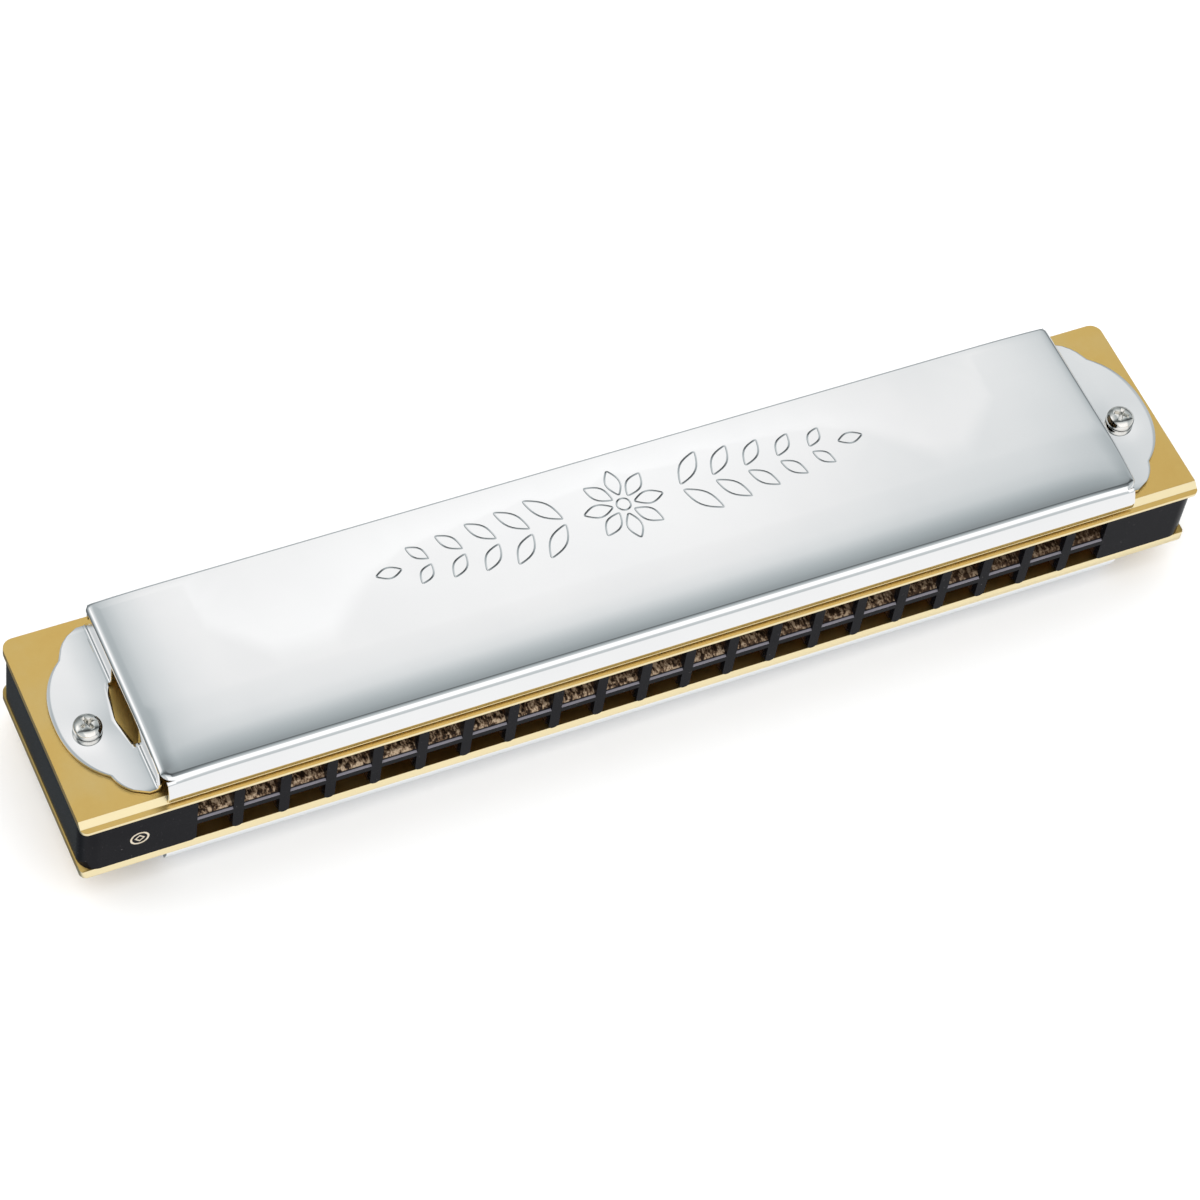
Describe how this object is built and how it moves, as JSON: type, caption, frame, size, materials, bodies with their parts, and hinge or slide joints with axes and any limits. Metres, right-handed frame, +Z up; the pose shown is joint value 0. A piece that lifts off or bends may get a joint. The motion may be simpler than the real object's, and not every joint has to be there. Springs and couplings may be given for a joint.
{
  "type": "harmonica",
  "caption": "Octave harmonica: a black comb between brass reed plates with sprung reeds, closed by folded chrome covers with scalloped, screwed end tabs.",
  "frame": {"origin": "centre of the bounding box's underside, on the flat of the lower cover that it rests on", "axes": "+X along the length from low notes to high, -Y is the side that is blown into, +Z is up through the upper cover"},
  "size_m": [0.168, 0.032, 0.0218],
  "materials": {
    "comb_plastic": "moulded black, glossy",
    "plate_brass": "satin rolled brass, bright along the cut front edge",
    "reed_bronze": "polished phosphor bronze with file marks",
    "cover_chrome": "mirror chrome on folded sheet",
    "screw_nickel": "nickel-plated pan head",
    "nail_brass": "plain"
  },
  "bodies": {
    "housing": {"comb": "comb_plastic", "upper_reed_plate": "plate_brass", "lower_reed_plate": "plate_brass", "upper_cover": "cover_chrome", "lower_cover": "cover_chrome", "upper_cover_screw_left": "screw_nickel", "upper_cover_screw_right": "screw_nickel", "lower_cover_screw_left": "screw_nickel", "lower_cover_screw_right": "screw_nickel", "upper_plate_nail_front_left": "nail_brass", "upper_plate_nail_front_right": "nail_brass", "upper_plate_nail_back_left": "nail_brass", "upper_plate_nail_back_right": "nail_brass", "lower_plate_nail_front_left": "nail_brass", "lower_plate_nail_front_right": "nail_brass", "lower_plate_nail_back_left": "nail_brass", "lower_plate_nail_back_right": "nail_brass"},
    "upper_blow_reed_01": {"upper_blow_reed_01": "reed_bronze"},
    "upper_draw_reed_02": {"upper_draw_reed_02": "reed_bronze"},
    "upper_blow_reed_03": {"upper_blow_reed_03": "reed_bronze"},
    "upper_draw_reed_04": {"upper_draw_reed_04": "reed_bronze"},
    "upper_blow_reed_05": {"upper_blow_reed_05": "reed_bronze"},
    "upper_draw_reed_06": {"upper_draw_reed_06": "reed_bronze"},
    "upper_blow_reed_07": {"upper_blow_reed_07": "reed_bronze"},
    "upper_draw_reed_08": {"upper_draw_reed_08": "reed_bronze"},
    "upper_blow_reed_09": {"upper_blow_reed_09": "reed_bronze"},
    "upper_draw_reed_10": {"upper_draw_reed_10": "reed_bronze"},
    "upper_blow_reed_11": {"upper_blow_reed_11": "reed_bronze"},
    "upper_draw_reed_12": {"upper_draw_reed_12": "reed_bronze"},
    "upper_blow_reed_13": {"upper_blow_reed_13": "reed_bronze"},
    "upper_draw_reed_14": {"upper_draw_reed_14": "reed_bronze"},
    "upper_blow_reed_15": {"upper_blow_reed_15": "reed_bronze"},
    "upper_draw_reed_16": {"upper_draw_reed_16": "reed_bronze"},
    "upper_blow_reed_17": {"upper_blow_reed_17": "reed_bronze"},
    "upper_draw_reed_18": {"upper_draw_reed_18": "reed_bronze"},
    "upper_blow_reed_19": {"upper_blow_reed_19": "reed_bronze"},
    "upper_draw_reed_20": {"upper_draw_reed_20": "reed_bronze"},
    "upper_blow_reed_21": {"upper_blow_reed_21": "reed_bronze"},
    "lower_blow_reed_01": {"lower_blow_reed_01": "reed_bronze"},
    "lower_draw_reed_02": {"lower_draw_reed_02": "reed_bronze"},
    "lower_blow_reed_03": {"lower_blow_reed_03": "reed_bronze"},
    "lower_draw_reed_04": {"lower_draw_reed_04": "reed_bronze"},
    "lower_blow_reed_05": {"lower_blow_reed_05": "reed_bronze"},
    "lower_draw_reed_06": {"lower_draw_reed_06": "reed_bronze"},
    "lower_blow_reed_07": {"lower_blow_reed_07": "reed_bronze"},
    "lower_draw_reed_08": {"lower_draw_reed_08": "reed_bronze"},
    "lower_blow_reed_09": {"lower_blow_reed_09": "reed_bronze"},
    "lower_draw_reed_10": {"lower_draw_reed_10": "reed_bronze"},
    "lower_blow_reed_11": {"lower_blow_reed_11": "reed_bronze"},
    "lower_draw_reed_12": {"lower_draw_reed_12": "reed_bronze"},
    "lower_blow_reed_13": {"lower_blow_reed_13": "reed_bronze"},
    "lower_draw_reed_14": {"lower_draw_reed_14": "reed_bronze"},
    "lower_blow_reed_15": {"lower_blow_reed_15": "reed_bronze"},
    "lower_draw_reed_16": {"lower_draw_reed_16": "reed_bronze"},
    "lower_blow_reed_17": {"lower_blow_reed_17": "reed_bronze"},
    "lower_draw_reed_18": {"lower_draw_reed_18": "reed_bronze"},
    "lower_blow_reed_19": {"lower_blow_reed_19": "reed_bronze"},
    "lower_draw_reed_20": {"lower_draw_reed_20": "reed_bronze"},
    "lower_blow_reed_21": {"lower_blow_reed_21": "reed_bronze"}
  },
  "joints": [
    {"name": "upper_blow_reed_01_flex", "type": "hinge", "parent": "housing", "child": "upper_blow_reed_01", "pos_m": [-0.06525, 0.0094, 0.01505], "axis": [1, 0, 0], "range_deg": [-3, 3], "stiffness_Nm_per_rad": 0.002},
    {"name": "upper_draw_reed_02_flex", "type": "hinge", "parent": "housing", "child": "upper_draw_reed_02", "pos_m": [-0.05865, -0.0106, 0.01715], "axis": [1, 0, 0], "range_deg": [-3, 3], "stiffness_Nm_per_rad": 0.002},
    {"name": "upper_blow_reed_03_flex", "type": "hinge", "parent": "housing", "child": "upper_blow_reed_03", "pos_m": [-0.05205, 0.0084, 0.01505], "axis": [1, 0, 0], "range_deg": [-3, 3], "stiffness_Nm_per_rad": 0.002},
    {"name": "upper_draw_reed_04_flex", "type": "hinge", "parent": "housing", "child": "upper_draw_reed_04", "pos_m": [-0.04545, -0.0106, 0.01715], "axis": [1, 0, 0], "range_deg": [-3, 3], "stiffness_Nm_per_rad": 0.002},
    {"name": "upper_blow_reed_05_flex", "type": "hinge", "parent": "housing", "child": "upper_blow_reed_05", "pos_m": [-0.03885, 0.0074, 0.01505], "axis": [1, 0, 0], "range_deg": [-3, 3], "stiffness_Nm_per_rad": 0.002},
    {"name": "upper_draw_reed_06_flex", "type": "hinge", "parent": "housing", "child": "upper_draw_reed_06", "pos_m": [-0.03225, -0.0106, 0.01715], "axis": [1, 0, 0], "range_deg": [-3, 3], "stiffness_Nm_per_rad": 0.002},
    {"name": "upper_blow_reed_07_flex", "type": "hinge", "parent": "housing", "child": "upper_blow_reed_07", "pos_m": [-0.02565, 0.0064, 0.01505], "axis": [1, 0, 0], "range_deg": [-3, 3], "stiffness_Nm_per_rad": 0.002},
    {"name": "upper_draw_reed_08_flex", "type": "hinge", "parent": "housing", "child": "upper_draw_reed_08", "pos_m": [-0.01905, -0.0106, 0.01715], "axis": [1, 0, 0], "range_deg": [-3, 3], "stiffness_Nm_per_rad": 0.002},
    {"name": "upper_blow_reed_09_flex", "type": "hinge", "parent": "housing", "child": "upper_blow_reed_09", "pos_m": [-0.01245, 0.0054, 0.01505], "axis": [1, 0, 0], "range_deg": [-3, 3], "stiffness_Nm_per_rad": 0.002},
    {"name": "upper_draw_reed_10_flex", "type": "hinge", "parent": "housing", "child": "upper_draw_reed_10", "pos_m": [-0.00585, -0.0106, 0.01715], "axis": [1, 0, 0], "range_deg": [-3, 3], "stiffness_Nm_per_rad": 0.002},
    {"name": "upper_blow_reed_11_flex", "type": "hinge", "parent": "housing", "child": "upper_blow_reed_11", "pos_m": [0.00075, 0.0044, 0.01505], "axis": [1, 0, 0], "range_deg": [-3, 3], "stiffness_Nm_per_rad": 0.002},
    {"name": "upper_draw_reed_12_flex", "type": "hinge", "parent": "housing", "child": "upper_draw_reed_12", "pos_m": [0.00735, -0.0106, 0.01715], "axis": [1, 0, 0], "range_deg": [-3, 3], "stiffness_Nm_per_rad": 0.002},
    {"name": "upper_blow_reed_13_flex", "type": "hinge", "parent": "housing", "child": "upper_blow_reed_13", "pos_m": [0.01395, 0.0034, 0.01505], "axis": [1, 0, 0], "range_deg": [-3, 3], "stiffness_Nm_per_rad": 0.002},
    {"name": "upper_draw_reed_14_flex", "type": "hinge", "parent": "housing", "child": "upper_draw_reed_14", "pos_m": [0.02055, -0.0106, 0.01715], "axis": [1, 0, 0], "range_deg": [-3, 3], "stiffness_Nm_per_rad": 0.002},
    {"name": "upper_blow_reed_15_flex", "type": "hinge", "parent": "housing", "child": "upper_blow_reed_15", "pos_m": [0.02715, 0.0024, 0.01505], "axis": [1, 0, 0], "range_deg": [-3, 3], "stiffness_Nm_per_rad": 0.002},
    {"name": "upper_draw_reed_16_flex", "type": "hinge", "parent": "housing", "child": "upper_draw_reed_16", "pos_m": [0.03375, -0.0106, 0.01715], "axis": [1, 0, 0], "range_deg": [-3, 3], "stiffness_Nm_per_rad": 0.002},
    {"name": "upper_blow_reed_17_flex", "type": "hinge", "parent": "housing", "child": "upper_blow_reed_17", "pos_m": [0.04035, 0.0014, 0.01505], "axis": [1, 0, 0], "range_deg": [-3, 3], "stiffness_Nm_per_rad": 0.002},
    {"name": "upper_draw_reed_18_flex", "type": "hinge", "parent": "housing", "child": "upper_draw_reed_18", "pos_m": [0.04695, -0.0106, 0.01715], "axis": [1, 0, 0], "range_deg": [-3, 3], "stiffness_Nm_per_rad": 0.002},
    {"name": "upper_blow_reed_19_flex", "type": "hinge", "parent": "housing", "child": "upper_blow_reed_19", "pos_m": [0.05355, 0.0004, 0.01505], "axis": [1, 0, 0], "range_deg": [-3, 3], "stiffness_Nm_per_rad": 0.002},
    {"name": "upper_draw_reed_20_flex", "type": "hinge", "parent": "housing", "child": "upper_draw_reed_20", "pos_m": [0.06015, -0.0106, 0.01715], "axis": [1, 0, 0], "range_deg": [-3, 3], "stiffness_Nm_per_rad": 0.002},
    {"name": "upper_blow_reed_21_flex", "type": "hinge", "parent": "housing", "child": "upper_blow_reed_21", "pos_m": [0.06675, -0.0006, 0.01505], "axis": [1, 0, 0], "range_deg": [-3, 3], "stiffness_Nm_per_rad": 0.002},
    {"name": "lower_blow_reed_01_flex", "type": "hinge", "parent": "housing", "child": "lower_blow_reed_01", "pos_m": [-0.06525, 0.0094, 0.00675], "axis": [1, 0, 0], "range_deg": [-3, 3], "stiffness_Nm_per_rad": 0.002},
    {"name": "lower_draw_reed_02_flex", "type": "hinge", "parent": "housing", "child": "lower_draw_reed_02", "pos_m": [-0.05865, -0.0106, 0.00465], "axis": [1, 0, 0], "range_deg": [-3, 3], "stiffness_Nm_per_rad": 0.002},
    {"name": "lower_blow_reed_03_flex", "type": "hinge", "parent": "housing", "child": "lower_blow_reed_03", "pos_m": [-0.05205, 0.0084, 0.00675], "axis": [1, 0, 0], "range_deg": [-3, 3], "stiffness_Nm_per_rad": 0.002},
    {"name": "lower_draw_reed_04_flex", "type": "hinge", "parent": "housing", "child": "lower_draw_reed_04", "pos_m": [-0.04545, -0.0106, 0.00465], "axis": [1, 0, 0], "range_deg": [-3, 3], "stiffness_Nm_per_rad": 0.002},
    {"name": "lower_blow_reed_05_flex", "type": "hinge", "parent": "housing", "child": "lower_blow_reed_05", "pos_m": [-0.03885, 0.0074, 0.00675], "axis": [1, 0, 0], "range_deg": [-3, 3], "stiffness_Nm_per_rad": 0.002},
    {"name": "lower_draw_reed_06_flex", "type": "hinge", "parent": "housing", "child": "lower_draw_reed_06", "pos_m": [-0.03225, -0.0106, 0.00465], "axis": [1, 0, 0], "range_deg": [-3, 3], "stiffness_Nm_per_rad": 0.002},
    {"name": "lower_blow_reed_07_flex", "type": "hinge", "parent": "housing", "child": "lower_blow_reed_07", "pos_m": [-0.02565, 0.0064, 0.00675], "axis": [1, 0, 0], "range_deg": [-3, 3], "stiffness_Nm_per_rad": 0.002},
    {"name": "lower_draw_reed_08_flex", "type": "hinge", "parent": "housing", "child": "lower_draw_reed_08", "pos_m": [-0.01905, -0.0106, 0.00465], "axis": [1, 0, 0], "range_deg": [-3, 3], "stiffness_Nm_per_rad": 0.002},
    {"name": "lower_blow_reed_09_flex", "type": "hinge", "parent": "housing", "child": "lower_blow_reed_09", "pos_m": [-0.01245, 0.0054, 0.00675], "axis": [1, 0, 0], "range_deg": [-3, 3], "stiffness_Nm_per_rad": 0.002},
    {"name": "lower_draw_reed_10_flex", "type": "hinge", "parent": "housing", "child": "lower_draw_reed_10", "pos_m": [-0.00585, -0.0106, 0.00465], "axis": [1, 0, 0], "range_deg": [-3, 3], "stiffness_Nm_per_rad": 0.002},
    {"name": "lower_blow_reed_11_flex", "type": "hinge", "parent": "housing", "child": "lower_blow_reed_11", "pos_m": [0.00075, 0.0044, 0.00675], "axis": [1, 0, 0], "range_deg": [-3, 3], "stiffness_Nm_per_rad": 0.002},
    {"name": "lower_draw_reed_12_flex", "type": "hinge", "parent": "housing", "child": "lower_draw_reed_12", "pos_m": [0.00735, -0.0106, 0.00465], "axis": [1, 0, 0], "range_deg": [-3, 3], "stiffness_Nm_per_rad": 0.002},
    {"name": "lower_blow_reed_13_flex", "type": "hinge", "parent": "housing", "child": "lower_blow_reed_13", "pos_m": [0.01395, 0.0034, 0.00675], "axis": [1, 0, 0], "range_deg": [-3, 3], "stiffness_Nm_per_rad": 0.002},
    {"name": "lower_draw_reed_14_flex", "type": "hinge", "parent": "housing", "child": "lower_draw_reed_14", "pos_m": [0.02055, -0.0106, 0.00465], "axis": [1, 0, 0], "range_deg": [-3, 3], "stiffness_Nm_per_rad": 0.002},
    {"name": "lower_blow_reed_15_flex", "type": "hinge", "parent": "housing", "child": "lower_blow_reed_15", "pos_m": [0.02715, 0.0024, 0.00675], "axis": [1, 0, 0], "range_deg": [-3, 3], "stiffness_Nm_per_rad": 0.002},
    {"name": "lower_draw_reed_16_flex", "type": "hinge", "parent": "housing", "child": "lower_draw_reed_16", "pos_m": [0.03375, -0.0106, 0.00465], "axis": [1, 0, 0], "range_deg": [-3, 3], "stiffness_Nm_per_rad": 0.002},
    {"name": "lower_blow_reed_17_flex", "type": "hinge", "parent": "housing", "child": "lower_blow_reed_17", "pos_m": [0.04035, 0.0014, 0.00675], "axis": [1, 0, 0], "range_deg": [-3, 3], "stiffness_Nm_per_rad": 0.002},
    {"name": "lower_draw_reed_18_flex", "type": "hinge", "parent": "housing", "child": "lower_draw_reed_18", "pos_m": [0.04695, -0.0106, 0.00465], "axis": [1, 0, 0], "range_deg": [-3, 3], "stiffness_Nm_per_rad": 0.002},
    {"name": "lower_blow_reed_19_flex", "type": "hinge", "parent": "housing", "child": "lower_blow_reed_19", "pos_m": [0.05355, 0.0004, 0.00675], "axis": [1, 0, 0], "range_deg": [-3, 3], "stiffness_Nm_per_rad": 0.002},
    {"name": "lower_draw_reed_20_flex", "type": "hinge", "parent": "housing", "child": "lower_draw_reed_20", "pos_m": [0.06015, -0.0106, 0.00465], "axis": [1, 0, 0], "range_deg": [-3, 3], "stiffness_Nm_per_rad": 0.002},
    {"name": "lower_blow_reed_21_flex", "type": "hinge", "parent": "housing", "child": "lower_blow_reed_21", "pos_m": [0.06675, -0.0006, 0.00675], "axis": [1, 0, 0], "range_deg": [-3, 3], "stiffness_Nm_per_rad": 0.002}
  ]
}
